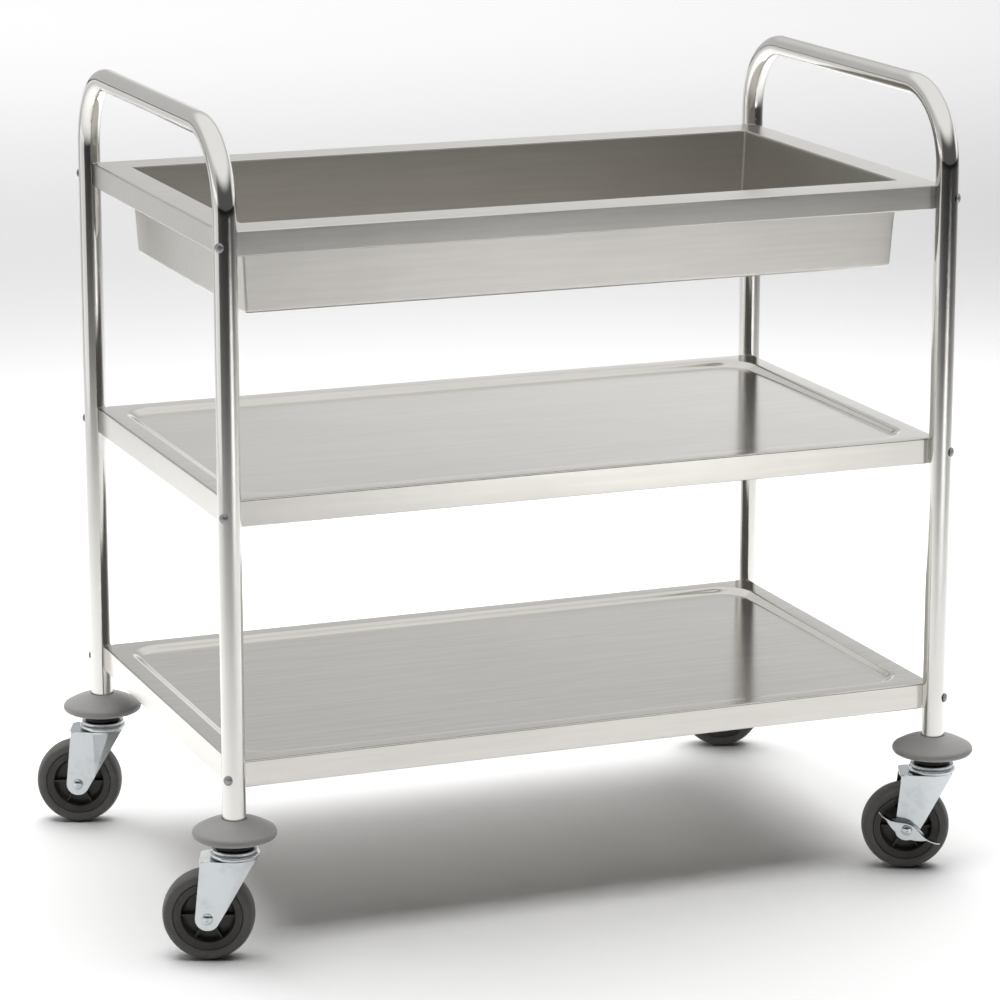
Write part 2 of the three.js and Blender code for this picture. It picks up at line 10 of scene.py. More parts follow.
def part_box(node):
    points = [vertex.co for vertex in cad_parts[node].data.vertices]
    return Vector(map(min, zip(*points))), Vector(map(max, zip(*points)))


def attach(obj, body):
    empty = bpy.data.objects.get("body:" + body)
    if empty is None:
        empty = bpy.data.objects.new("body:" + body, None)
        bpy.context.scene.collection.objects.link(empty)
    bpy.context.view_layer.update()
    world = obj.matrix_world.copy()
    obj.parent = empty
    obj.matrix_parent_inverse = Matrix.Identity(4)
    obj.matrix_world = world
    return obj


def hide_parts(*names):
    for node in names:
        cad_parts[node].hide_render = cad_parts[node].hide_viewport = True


bl_info = {
    "name": "Serving trolley",
    "version": (1, 0, 0),
    "blender": (4, 5, 0),
    "location": "View3D > Sidebar > Trolley",
    "description": "Builds the sheet metal, tubes, casters and studio of a serving trolley round its frame",
    "category": "Object",
}

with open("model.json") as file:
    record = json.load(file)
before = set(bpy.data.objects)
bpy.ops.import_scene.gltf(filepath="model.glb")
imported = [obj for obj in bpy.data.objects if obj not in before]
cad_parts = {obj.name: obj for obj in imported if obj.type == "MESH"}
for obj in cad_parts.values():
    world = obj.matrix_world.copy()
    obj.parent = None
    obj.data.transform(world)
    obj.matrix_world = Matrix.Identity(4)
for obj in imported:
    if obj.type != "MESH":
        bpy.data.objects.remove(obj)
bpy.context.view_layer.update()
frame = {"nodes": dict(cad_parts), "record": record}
JOINTS = {joint["name"]: joint for joint in frame["record"]["behaviour"]["joints"]}

MM = 0.001
MERGE = 1e-6  # points closer than this are one point
NEAR = 5e-5  # how close a point is to a plane to count as on it
FACING = 0.99  # how much of a normal points one way when a face counts as facing it
CLEAR = 0.01  # how far a cutting tool stands out past what it cuts
QUARTER = math.pi / 2

CORNERS = {
    "front_left": (-1, -1),
    "front_right": (1, -1),
    "back_left": (-1, 1),
    "back_right": (1, 1),
}
BRAKED = ("front_right", "back_right")
TIERS = {"top": "top_tray_frame", "middle": "middle_shelf", "bottom": "bottom_shelf"}


# ---- Places taken from the frame ---------------------------------------------------------------
def lowest(node):
    return Vector(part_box(node)[0])


def highest(node):
    return Vector(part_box(node)[1])


def middle(node):
    return (lowest(node) + highest(node)) / 2


def size(node):
    return highest(node) - lowest(node)


def post(corner):
    """The foot of a post, on the axis its caster turns about."""
    x, y, _ = JOINTS[corner + "_swivel_turn"]["pos_m"]
    return Vector((x, y, 0))


def axle(corner):
    return Vector(JOINTS[corner + "_wheel_spin"]["pos_m"])


AXLE_LINE = Vector(JOINTS["front_left_wheel_spin"]["axis"])
CASTER_TURN = math.atan2(AXLE_LINE.y, AXLE_LINE.x) - QUARTER
WHEEL_RADIUS = axle("front_left").z
TRAIL = (axle("front_left") - post("front_left")).to_2d().length
TUBE_RADIUS = size("left_frame_tube").x / 2
TUBE_FOOT = lowest("left_frame_tube").z
HANDLE_Z = highest("left_frame_tube").z - TUBE_RADIUS
POST_Y = post("back_left").y
SHELF_MIDDLE = middle("middle_shelf").x
FORK_TOP = highest("front_left_fork").z
HEAD_FOOT = lowest("front_left_swivel_head").z
BUMPER_RADIUS = size("front_left_bumper").y / 2
STEM_BORE = 6.6 * MM  # clears the stem bolt


# ---- Sizes and colours that can be changed -----------------------------------------------------
def length(name, description, default):
    return bpy.props.FloatProperty(
        name=name, description=description, default=default, min=0, precision=4,
        subtype="DISTANCE", unit="LENGTH",
    )


def colour(name, description, default):
    return bpy.props.FloatVectorProperty(
        name=name, description=description, default=default, size=3, min=0, max=1,
        subtype="COLOR",
    )


def share(name, description, default):
    return bpy.props.FloatProperty(
        name=name, description=description, default=default, min=0, max=1, subtype="FACTOR",
    )


class TrolleySheetSizes(bpy.types.PropertyGroup):
    thickness: length("Sheet", "Thickness of the stainless sheet", 1.0 * MM)
    notch_fit: length("Notch fit", "Air between a post and the notch round it", 0.4 * MM)
    top_bend: length("Top bend", "Outside radius where the top turns down into the rim", 2.0 * MM)
    hem_bend: length("Hem bend", "Outside radius where the rim turns in under the shelf", 1.5 * MM)
    hem: length("Hem", "Width of the fold under the rim", 10 * MM)
    border: length("Border", "Flat border round the recess of a shelf", 20 * MM)
    slope: length("Slope", "Width of the sloped side of the recess", 14 * MM)
    recess: length("Recess", "Depth of the recess of a shelf", 6 * MM)
    corner: length("Corner", "Corner radius of the recess of a shelf", 42 * MM)
    tray_border_x: length("Tray border, ends", "Flat border at the ends of the tray", 35 * MM)
    tray_border_y: length("Tray border, sides", "Flat border at the long sides of the tray", 47 * MM)
    tray_taper: length("Tray taper", "How far each tray wall leans in", 5.5 * MM)
    tray_bend: length("Tray bend", "Inside radius along the tray floor", 3.0 * MM)
    flange: length("Flange", "Width of the flange under the tray border", 12 * MM)


class TrolleyTubeSizes(bpy.types.PropertyGroup):
    wall: length("Tube wall", "Wall of the frame tubes", 1.2 * MM)
    bend_radius: length("Bend radius", "Centreline radius of the bends below the handle", 85 * MM)


class TrolleyCasterSizes(bpy.types.PropertyGroup):
    tyre_width: length("Tyre width", "Width of a tyre", 31 * MM)
    seat_radius: length("Tyre seat", "Radius where the tyre sits on the hub", 37.5 * MM)
    opening_radius: length("Hub opening", "Radius of the recess in the hub", 29 * MM)
    fork_gap: length("Fork gap", "Between the inner faces of the fork legs", 38 * MM)
    fork_plate: length("Fork plate", "Thickness of the fork", 2.5 * MM)
    fork_foot: length("Fork foot", "Radius of the rounded foot of a leg", 13.2 * MM)
    axle_radius: length("Axle", "Radius of the axle rivet", 4 * MM)
    rivet_radius: length("Rivet head", "Radius of the heads of the axle rivet", 6.2 * MM)
    pedal_tilt: bpy.props.FloatProperty(
        name="Pedal tilt", description="Lean of the brake pedal when released",
        default=math.radians(28), subtype="ANGLE", unit="ROTATION",
    )


class TrolleyColours(bpy.types.PropertyGroup):
    tube: colour("Tube steel", "Polished stainless of the frame tubes", (0.74, 0.725, 0.695))
    sheet: colour("Sheet steel", "Satin stainless of the shelves and the tray", (0.66, 0.64, 0.605))
    zinc: colour("Zinc", "Bright zinc plate of the casters", (0.575, 0.605, 0.62))
    screw: colour("Screw steel", "Dull steel of the shelf screws", (0.33, 0.33, 0.335))
    bumper: colour("Bumper", "Grey plastic of the bumpers", (0.285, 0.278, 0.27))
    tyre: colour("Tyre", "Grey rubber of the tyres", (0.088, 0.085, 0.079))
    # The hub colour is darker than the plastic alone. It is partly the hub's own dark plastic and partly
    # painted shade, standing in for the shade deep in the hub's recess.
    hub: colour("Hub", "Dark plastic of the hubs", (0.040, 0.037, 0.033))
    seal: colour("Seal", "Black rubber of the seals", (0.016, 0.017, 0.018))
    nylon: colour("Nylon", "Natural nylon of the bushes and sleeves", (0.74, 0.72, 0.66))
    floor: colour("Floor", "Studio floor", (0.93, 0.93, 0.93))


class TrolleyStudio(bpy.types.PropertyGroup):
    lens: bpy.props.FloatProperty(
        name="Lens", description="Focal length of the camera", default=146.1,
        subtype="DISTANCE_CAMERA", unit="CAMERA",
    )
    heading: bpy.props.FloatProperty(
        name="Heading", description="Turn of the camera to the right of straight ahead",
        default=math.radians(21.437), subtype="ANGLE", unit="ROTATION",
    )
    dip: bpy.props.FloatProperty(
        name="Dip", description="How far the camera looks down",
        default=math.radians(13.669), subtype="ANGLE", unit="ROTATION",
    )
    camera: bpy.props.FloatVectorProperty(
        name="Camera", description="Place of the camera", default=(-1.6471, -4.2016, 1.5101),
        size=3, subtype="TRANSLATION", unit="LENGTH",
    )
    dome: bpy.props.FloatProperty(
        name="Dome", description="Strength of the sky high above the trolley", default=1.0, min=0,
    )
    daylight: bpy.props.FloatProperty(
        name="Daylight", description="Strength of the low sky beside and behind", default=0.58, min=0,
    )
    glow: bpy.props.FloatProperty(
        name="Glow", description="Extra strength low down behind on the right", default=0.6, min=0,
    )
    dusk: bpy.props.FloatProperty(
        name="Dusk", description="Strength of the low sky in front", default=0.1, min=0,
    )
    overhead: bpy.props.FloatProperty(
        name="Overhead", description="Power of the light box above the trolley", default=86,
        min=0, unit="POWER",
    )
    behind: bpy.props.FloatProperty(
        name="Behind", description="Power of the light box over the floor behind", default=600,
        min=0, unit="POWER",
    )
    front: bpy.props.FloatProperty(
        name="Front", description="Power of the strip light over the floor in front", default=13,
        min=0, unit="POWER",
    )
    left: bpy.props.FloatProperty(
        name="Left", description="Power of the low light box standing on the left", default=6,
        min=0, unit="POWER",
    )


# ---- Modelling by hand -------------------------------------------------------------------------
def select_only(piece, *others):
    """Selects these pieces in object mode and nothing else, the first one active."""
    bpy.ops.object.select_all(action="DESELECT")
    for item in (piece, *others):
        item.select_set(True)
    bpy.context.view_layer.objects.active = piece


def added(name, operator, **settings):
    """Adds a primitive in object mode with nothing else selected, and returns it."""
    bpy.ops.object.select_all(action="DESELECT")
    operator(**settings)
    piece = bpy.context.object
    piece.name = name
    piece.data.name = name
    return piece


@contextmanager
def editing(piece):
    select_only(piece)
    bpy.ops.object.mode_set(mode="EDIT")
    bpy.ops.mesh.select_all(action="DESELECT")
    yield
    bpy.ops.object.mode_set(mode="OBJECT")


def pick(piece, kind, test):
    """Selects the vertices, edges or faces that pass the test, and nothing else."""
    bpy.ops.mesh.select_mode(type=kind)
    bpy.ops.mesh.select_all(action="DESELECT")
    shape = bmesh.from_edit_mesh(piece.data)
    items = {"VERT": shape.verts, "EDGE": shape.edges, "FACE": shape.faces}[kind]
    chosen = [item for item in items if test(item)]
    for item in chosen:
        item.select_set(True)
    shape.select_flush_mode()
    bmesh.update_edit_mesh(piece.data)
    if not chosen:
        raise RuntimeError(f"{piece.name}: nothing to select")


def level(edge, height):
    """Whether an edge lies at that height."""
    return all(abs(vertex.co.z - height) < NEAR for vertex in edge.verts)


def upright(edge):
    """Whether the two ends of an edge are at different heights."""
    first, second = edge.verts
    return abs(first.co.z - second.co.z) > NEAR


def is_open(edge):
    """Whether an edge has a face on one side only."""
    return len(edge.link_faces) == 1


def finish_with(piece, kind, **settings):
    """Adds a modifier with these settings and applies it."""
    select_only(piece)
    bpy.ops.object.modifier_add(type=kind)
    modifier = piece.modifiers[-1]
    for key, value in settings.items():
        setattr(modifier, key, value)
    bpy.ops.object.modifier_apply(modifier=modifier.name)


def cut(piece, tool, operation="DIFFERENCE"):
    """Cuts a piece with a tool, or joins the two, and throws the tool away."""
    finish_with(piece, "BOOLEAN", object=tool, operation=operation, solver="EXACT")
    bpy.data.objects.remove(tool)


def wall(piece, thickness):
    """Gives an open sheet its wall, inwards from the outer face."""
    with editing(piece):
        bpy.ops.mesh.select_all(action="SELECT")
        bpy.ops.mesh.remove_doubles(threshold=MERGE)
        bpy.ops.mesh.delete_loose()
        bpy.ops.mesh.select_all(action="SELECT")
        bpy.ops.mesh.normals_make_consistent(inside=False)
    finish_with(piece, "SOLIDIFY", thickness=thickness, offset=-1, use_even_offset=True)


def closed(piece):
    """Merges the seams, closes what is open and turns every face outwards."""
    with editing(piece):
        bpy.ops.mesh.select_all(action="SELECT")
        bpy.ops.mesh.remove_doubles(threshold=MERGE)
        bpy.ops.mesh.fill_holes(sides=0)
        bpy.ops.mesh.select_all(action="SELECT")
        bpy.ops.mesh.normals_make_consistent(inside=False)


def smooth(piece, degrees=35):
    """Shades a piece smooth up to an angle, with its large faces kept flat."""
    select_only(piece)
    bpy.ops.object.shade_smooth_by_angle(angle=math.radians(degrees))
    finish_with(piece, "WEIGHTED_NORMAL", keep_sharp=True)


def settle(piece, place=Matrix()):
    """Moves a piece to its place and puts the place in its mesh."""
    piece.matrix_basis = place @ piece.matrix_basis
    select_only(piece)
    bpy.ops.object.transform_apply(location=True, rotation=True, scale=True)


def joined(piece, *others):
    select_only(piece, *others)
    bpy.ops.object.join()
    return piece


def copied(piece, name, place):
    """A copy of a piece with a mesh of its own, at another place."""
    copy = piece.copy()
    copy.data = piece.data.copy()
    copy.name = name
    copy.data.name = name
    bpy.context.collection.objects.link(copy)
    settle(copy, place)
    return copy


def turned(name, profile, segments=64):
    """A turned piece about Z, drawn out ring by ring along (radius, height) pairs."""
    (radius, height), *rest = profile
    piece = added(name, bpy.ops.mesh.primitive_circle_add, vertices=segments, radius=radius,
                  location=(0, 0, height))
    settle(piece)
    with editing(piece):
        bpy.ops.mesh.select_all(action="SELECT")
        for next_radius, next_height in rest:
            bpy.ops.mesh.extrude_region_move(
                TRANSFORM_OT_translate={"value": (0, 0, next_height - height)})
            ratio = next_radius / radius
            bpy.ops.transform.resize(value=(ratio, ratio, 1), center_override=(0, 0, next_height))
            radius, height = next_radius, next_height
    closed(piece)
    return piece


def arc(centre, radius, start, end, steps):
    """Points on an arc, in degrees, as (across, up) pairs."""
    angles = [math.radians(start + (end - start) * step / steps) for step in range(steps + 1)]
    return [(centre[0] + radius * math.cos(angle), centre[1] + radius * math.sin(angle))
            for angle in angles]


def domed(radius, foot, rise, step=15):
    """Points on a dome as (radius, height) pairs, from its rim almost to its top."""
    angles = [math.radians(angle) for angle in range(0, 90, step)]
    return [(radius * math.cos(angle), foot + rise * math.sin(angle)) for angle in angles]


def block(name, low, high):
    low, high = Vector(low), Vector(high)
    piece = added(name, bpy.ops.mesh.primitive_cube_add, size=1, location=(low + high) / 2)
    piece.scale = high - low
    settle(piece)
    return piece


def upright_rod(name, radius, low, high, at=(0, 0), segments=48):
    piece = added(name, bpy.ops.mesh.primitive_cylinder_add, vertices=segments, radius=radius,
                  depth=high - low, location=(at[0], at[1], (low + high) / 2))
    settle(piece)
    return piece


def rod_across(name, radius, near, far, at=(0, 0), segments=48):
    """A rod along Y, at x and z."""
    piece = added(name, bpy.ops.mesh.primitive_cylinder_add, vertices=segments, radius=radius,
                  depth=far - near, location=(at[0], (near + far) / 2, at[1]),
                  rotation=(QUARTER, 0, 0))
    settle(piece)
    return piece


def given(piece, body, material, slot, *nodes):
    """Hands a finished piece to the frame."""
    piece.data.materials.clear()
    piece.data.materials.append(material)
    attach(piece, body)
    if nodes:
        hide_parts(*nodes)


# ---- Shader maths ------------------------------------------------------------------------------
class Value:
    """A shader socket that Python's operators work on."""

    def __init__(self, finish, socket):
        self.finish = finish
        self.socket = socket

    def with_maths(self, operation, first, second):
        return self.finish.node("ShaderNodeMath", {"operation": operation}, {0: first, 1: second})

    def __add__(self, other):
        return self.with_maths("ADD", self, other)

    def __radd__(self, other):
        return self.with_maths("ADD", other, self)

    def __sub__(self, other):
        return self.with_maths("SUBTRACT", self, other)

    def __rsub__(self, other):
        return self.with_maths("SUBTRACT", other, self)

    def __mul__(self, other):
        return self.with_maths("MULTIPLY", self, other)

    def __rmul__(self, other):
        return self.with_maths("MULTIPLY", other, self)


class Finish:
    """One material, built node by node round a Principled shader."""

    def __init__(self, name, **constants):
        self.material = bpy.data.materials.new(name)
        self.material.use_nodes = True
        self.tree = self.material.node_tree
        self.shader = self.tree.nodes["Principled BSDF"]
        for key, value in constants.items():
            self.shader.inputs[self.named(key)].default_value = value

    @classmethod
    def over(cls, tree):
        """Nodes in a tree that is there already, such as a world's."""
        made = cls.__new__(cls)
        made.tree = tree
        return made

    def named(self, key):
        return key.replace("_", " ").title().replace("Ior", "IOR")

    def node(self, kind, settings=None, inputs=None, output=0):
        """A node of any type: its settings first, then the values or links of its sockets."""
        made = self.tree.nodes.new(kind)
        for key, value in (settings or {}).items():
            if key == "stops":
                ramp = made.color_ramp
                while len(ramp.elements) < len(value):
                    ramp.elements.new(0.5)
                for element, (position, shade) in zip(ramp.elements, value):
                    element.position = position
                    element.color = (*shade, 1) if hasattr(shade, "__len__") else (*[shade] * 3, 1)
            else:
                setattr(made, key, value)
        for key, value in (inputs or {}).items():
            self.put(made.inputs[key], value)
        return Value(self, made.outputs[output])

    def put(self, socket, value):
        if isinstance(value, Value):
            self.tree.links.new(value.socket, socket)
        else:
            socket.default_value = value

    def set(self, **links):
        for key, value in links.items():
            self.put(self.shader.inputs[self.named(key)], value)

    def place(self, scale=(1, 1, 1), turn=(0, 0, 0)):
        """Object coordinates, stretched and turned."""
        where = self.node("ShaderNodeTexCoord", output="Object")
        return self.node("ShaderNodeMapping", None,
                         {"Vector": where, "Scale": scale, "Rotation": turn})

    def noise(self, scale, stretch=(1, 1, 1), detail=2.0, roughness=0.5, turn=(0, 0, 0)):
        return self.node("ShaderNodeTexNoise", None, {
            "Vector": self.place(stretch, turn), "Scale": scale, "Detail": detail,
            "Roughness": roughness})

    def band(self, value, low, high, start=0.0, end=1.0):
        """Maps low..high of a value to start..end, smoothly, and holds it there outside."""
        return self.node("ShaderNodeMapRange", {"interpolation_type": "SMOOTHSTEP"}, {
            "Value": value, "From Min": low, "From Max": high, "To Min": start, "To Max": end})

    def blend(self, factor, first, second):
        """A mix of two colours."""
        full = [tint if isinstance(tint, Value) else (*tint, 1) for tint in (first, second)]
        return self.node("ShaderNodeMix", {"data_type": "RGBA"},
                         {0: factor, 6: full[0], 7: full[1]}, output=2)

    def bump(self, height, strength, distance, normal=None):
        links = {"Height": height, "Strength": strength, "Distance": distance}
        if normal:
            links["Normal"] = normal
        return self.node("ShaderNodeBump", None, links)


def shade(tint, factor):
    return tuple(min(1.0, channel * factor) for channel in tint)


def tube_steel(tint):
    """Polished tube: a faint satin left by the belt, with drawing lines along it."""
    finish = Finish("polished_tube", metallic=1.0)
    lines = finish.noise(90, stretch=(18, 1.0, 0.8), detail=3)
    cloud = finish.noise(14, detail=3)
    fingering = finish.noise(45, stretch=(1, 1, 0.5), detail=4, roughness=0.65)
    finish.set(
        base_color=finish.blend(cloud, shade(tint, 0.95), shade(tint, 1.04)),
        roughness=0.08 + lines * 0.04 + finish.band(fingering, 0.55, 0.75) * 0.05,
        normal=finish.bump(lines, 0.05, 0.0004, finish.bump(cloud, 0.06, 0.002)),
    )
    return finish.material


def sheet_steel(name, tint, smoothness, grain, waviness):
    """Satin sheet: fine brushing along the length, faint rolling marks and a slight quilt."""
    finish = Finish(name, metallic=1.0)
    brushing = finish.noise(60, stretch=(0.12, 20, 20), detail=3, roughness=0.6)
    strokes = finish.noise(26, stretch=(0.3, 7, 7), detail=3, roughness=0.6)
    patches = finish.noise(5, stretch=(1, 1.6, 1.6), detail=3)
    quilt = finish.noise(3.2, detail=1)
    smudge = finish.band(finish.noise(9, detail=5, roughness=0.7), 0.58, 0.74)
    finish.set(
        base_color=finish.blend(finish.band(strokes * 0.6 + patches * 0.4, 0.35, 0.65),
                                shade(tint, 0.955), shade(tint, 1.03)),
        roughness=smoothness + brushing * 0.06 + strokes * 0.05 + smudge * 0.035,
        normal=finish.bump(brushing, grain, 0.0003, finish.bump(quilt, waviness, 0.01)),
    )
    return finish.material


def zinc_plate(tint):
    """Bright zinc: bluish, slightly milky, with handling marks."""
    finish = Finish("zinc_plate", metallic=1.0)
    cloud = finish.noise(70, detail=4, roughness=0.6)
    milky = finish.band(finish.noise(34, detail=5, roughness=0.7), 0.48, 0.72)
    scratches = finish.noise(240, stretch=(1, 1, 0.12), detail=2, turn=(0.3, 0.5, 0.2))
    finish.set(
        base_color=finish.blend(milky, tint, shade(tint, 0.86)),
        roughness=0.1 + milky * 0.1 + cloud * 0.04,
        normal=finish.bump(scratches, 0.08, 0.0003, finish.bump(cloud, 0.12, 0.0008)),
    )
    return finish.material


def screw_steel(tint):
    finish = Finish("screw_steel", metallic=1.0)
    grain = finish.noise(900, detail=3)
    worn = finish.band(finish.noise(300, detail=4), 0.5, 0.7)
    finish.set(
        base_color=finish.blend(worn, tint, shade(tint, 1.25)),
        roughness=0.36 + grain * 0.1,
        normal=finish.bump(grain, 0.15, 0.0002),
    )
    return finish.material


def moulded(name, tint, smoothness, grain_scale, grain, dust):
    """Moulded plastic or rubber: a fine spark-eroded grain, cloudy colour and a little dust."""
    finish = Finish(name, metallic=0.0, specular_ior_level=0.45)
    grain_height = finish.noise(grain_scale, detail=3, roughness=0.6)
    cloud = finish.noise(38, detail=4)
    settled = finish.band(finish.noise(95, detail=5, roughness=0.7), 0.52, 0.76)
    cloudy = finish.blend(cloud, shade(tint, 0.93), shade(tint, 1.07))
    finish.set(
        base_color=finish.blend(settled * dust, cloudy, (0.42, 0.40, 0.37)),
        roughness=smoothness + grain_height * 0.08 + settled * 0.12,
        normal=finish.bump(grain_height, grain, 0.0003, finish.bump(cloud, 0.03, 0.002)),
    )
    return finish.material


def floor_paint(tint):
    finish = Finish("studio_floor", roughness=0.9, specular_ior_level=0.0)
    cloud = finish.noise(0.7, detail=2)
    finish.set(base_color=finish.blend(cloud, shade(tint, 0.99), tint))
    return finish.material


FINISHES = {
    "tube": lambda tints: tube_steel(tints.tube),
    "shelf": lambda tints: sheet_steel("satin_shelf", tints.sheet, 0.09, 0.04, 0.02),
    "tray": lambda tints: sheet_steel("brushed_tray", tints.sheet, 0.25, 0.05, 0.03),
    "zinc": lambda tints: zinc_plate(tints.zinc),
    "screw": lambda tints: screw_steel(tints.screw),
    "bumper": lambda tints: moulded("bumper_plastic", tints.bumper, 0.38, 1500, 0.12, 0.05),
    "tyre": lambda tints: moulded("tyre_rubber", tints.tyre, 0.5, 1100, 0.2, 0.12),
    # Hub plastic: its own dark colour, darkened further as painted shade for the hub's recess.
    "hub": lambda tints: moulded("hub_plastic", tints.hub, 0.42, 1300, 0.12, 0.05),
    "seal": lambda tints: moulded("seal_rubber", tints.seal, 0.4, 1200, 0.15, 0.03),
    "nylon": lambda tints: moulded("nylon", tints.nylon, 0.45, 900, 0.1, 0.02),
    "floor": lambda tints: floor_paint(tints.floor),
}
made_finishes = {}


def finish(key):
    """A finish, made the first time it is asked for."""
    if key not in made_finishes:
        made_finishes[key] = FINISHES[key](bpy.context.scene.trolley_colours)
    return made_finishes[key]


# ---- Frame tubes -------------------------------------------------------------------------------
class TROLLEY_OT_frame_tubes(bpy.types.Operator):
    """Bend the two frame tubes, each a pair of posts joined by a handle"""

    bl_idname = "trolley.frame_tubes"
    bl_label = "Frame tubes"

    def execute(self, context):
        sizes = context.scene.trolley_tubes
        bend = sizes.bend_radius
        for side in ("left", "right"):
            x = post("front_" + side).x
            rise = HANDLE_Z - bend - TUBE_FOOT
            tube = added(side + "_tube", bpy.ops.mesh.primitive_circle_add, vertices=48,
                         radius=TUBE_RADIUS, location=(x, -POST_Y, TUBE_FOOT))
            settle(tube)
            with editing(tube):
                bpy.ops.mesh.select_all(action="SELECT")
                self.draw((0, 0, rise))
                self.bend((x, bend - POST_Y, HANDLE_Z - bend))
                self.draw((0, 2 * (POST_Y - bend), 0))
                self.bend((x, POST_Y - bend, HANDLE_Z - bend))
                self.draw((0, 0, -rise))
            wall(tube, sizes.wall)
            smooth(tube)
            given(tube, "root", finish("tube"), "polished_stainless", side + "_frame_tube")
        return {"FINISHED"}

    def draw(self, move):
        bpy.ops.mesh.extrude_region_move(TRANSFORM_OT_translate={"value": move})

    def bend(self, centre):
        bpy.ops.mesh.spin(steps=28, angle=QUARTER, center=centre, axis=(1, 0, 0))


# ---- Shelves and tray --------------------------------------------------------------------------
def notched_block(name, node, sizes):
    """The outside of a tier: a block whose corners are hollowed to hug the posts."""
    low, high = lowest(node), highest(node)
    piece = block(name, low, high)
    for corner in CORNERS:
        cut(piece, upright_rod("notch", TUBE_RADIUS + sizes.notch_fit, low.z - CLEAR,
                               high.z + CLEAR, post(corner).xy))
    sliver = 0.8 * MM  # the notches leave edges shorter than this, which would spoil the bends
    with editing(piece):
        bpy.ops.mesh.select_all(action="SELECT")
        bpy.ops.mesh.remove_doubles(threshold=sliver)
    return piece


def folded(piece, node, sizes):
    """Rounds the top bend, folds the hem in and opens the tier below and above."""
    low, high = lowest(node).z, highest(node).z
    with editing(piece):
        pick(piece, "EDGE", lambda edge: level(edge, high))
        bpy.ops.mesh.bevel(offset=sizes.top_bend, segments=4, affect="EDGES")
        pick(piece, "EDGE", lambda edge: level(edge, low))
        bpy.ops.mesh.bevel(offset=sizes.hem_bend, segments=3, affect="EDGES")
        pick(piece, "FACE", lambda face: face.normal.z < -FACING)
        bpy.ops.mesh.inset(thickness=sizes.hem - sizes.hem_bend)
        bpy.ops.mesh.delete(type="FACE")
        pick(piece, "FACE", lambda face: face.normal.z > FACING)
        bpy.ops.mesh.delete(type="ONLY_FACE")


def outline_in(piece, centre, half_x, half_y, corner, steps=10):
    """Adds a flat rectangle, with round corners where a radius is given, and leaves it selected."""
    bpy.ops.mesh.select_all(action="DESELECT")
    bpy.ops.mesh.primitive_plane_add(size=1, location=centre)
    bpy.ops.transform.resize(value=(2 * half_x, 2 * half_y, 1), center_override=centre)
    if corner:
        bpy.ops.mesh.bevel(offset=corner, segments=steps, affect="VERTICES")
    pick(piece, "FACE", lambda face: abs(face.calc_center_median().z - centre[2]) < NEAR
         and face.normal.z > FACING)


def ogee(width, depth, steps=10):
    """Steps (inwards, down) of a soft S-shaped slope."""
    fall = [depth * (1 - math.cos(math.pi * step / steps)) / 2 for step in range(steps + 1)]
    return [(width / steps, fall[step + 1] - fall[step]) for step in range(steps)]


def sink(steps):
    for inwards, down in steps:
        bpy.ops.mesh.inset(thickness=inwards, depth=-down)


def border_filled(piece, high):
    """Fills the flat border between the top bend and the mouth of the recess."""
    pick(piece, "EDGE", lambda edge: level(edge, high) and is_open(edge))
    bpy.ops.mesh.fill(use_beauty=True)


def aimed(side_x, side_y):
    """The turn that lays a piece standing along Z level, towards that side."""
    return Matrix.Rotation(math.atan2(side_y, side_x), 4, "Z") @ Matrix.Rotation(QUARTER, 4, "Y")


def weld_nuts(node, sizes):
    """Four hexagon nuts behind the notches of a tier, pointing along the screws."""
    radius, depth, land = 4.4 * MM, 5 * MM, 1.9 * MM
    reach = TUBE_RADIUS + sizes.notch_fit + sizes.thickness + depth / 2
    nuts = []
    for corner, (side_x, side_y) in CORNERS.items():
        nut = added("nut", bpy.ops.mesh.primitive_cylinder_add, vertices=6, radius=radius,
                    depth=depth)
        with editing(nut):
            pick(nut, "FACE", lambda face: abs(face.normal.z) > FACING)
            bpy.ops.mesh.inset(thickness=land)
            bpy.ops.mesh.delete(type="FACE")
            pick(nut, "EDGE", is_open)
            bpy.ops.mesh.bridge_edge_loops()
        inward = Vector((-side_x, -side_y, 0)).normalized() * reach
        at = post(corner) + inward + Vector((0, 0, middle(node).z))
        settle(nut, Matrix.Translation(at) @ aimed(-side_x, -side_y))
        nuts.append(nut)
    return nuts


class TROLLEY_OT_shelves(bpy.types.Operator):
    """Press the middle and bottom shelves, with folded rims and a shallow recess"""

    bl_idname = "trolley.shelves"
    bl_label = "Shelves"

    def execute(self, context):
        sizes = context.scene.trolley_sheets
        for name in ("middle_shelf", "bottom_shelf"):
            high = highest(name)
            shelf = notched_block(name + "_sheet", name, sizes)
            folded(shelf, name, sizes)
            half_x = size(name).x / 2 - sizes.border
            half_y = size(name).y / 2 - sizes.border
            with editing(shelf):
                outline_in(shelf, (SHELF_MIDDLE, 0, high.z), half_x, half_y, sizes.corner)
                sink(ogee(sizes.slope, sizes.recess))
                border_filled(shelf, high.z)
            wall(shelf, sizes.thickness)
            joined(shelf, *weld_nuts(name, sizes))
            smooth(shelf)
            given(shelf, "root", finish("shelf"), "brushed_stainless", name)
        return {"FINISHED"}


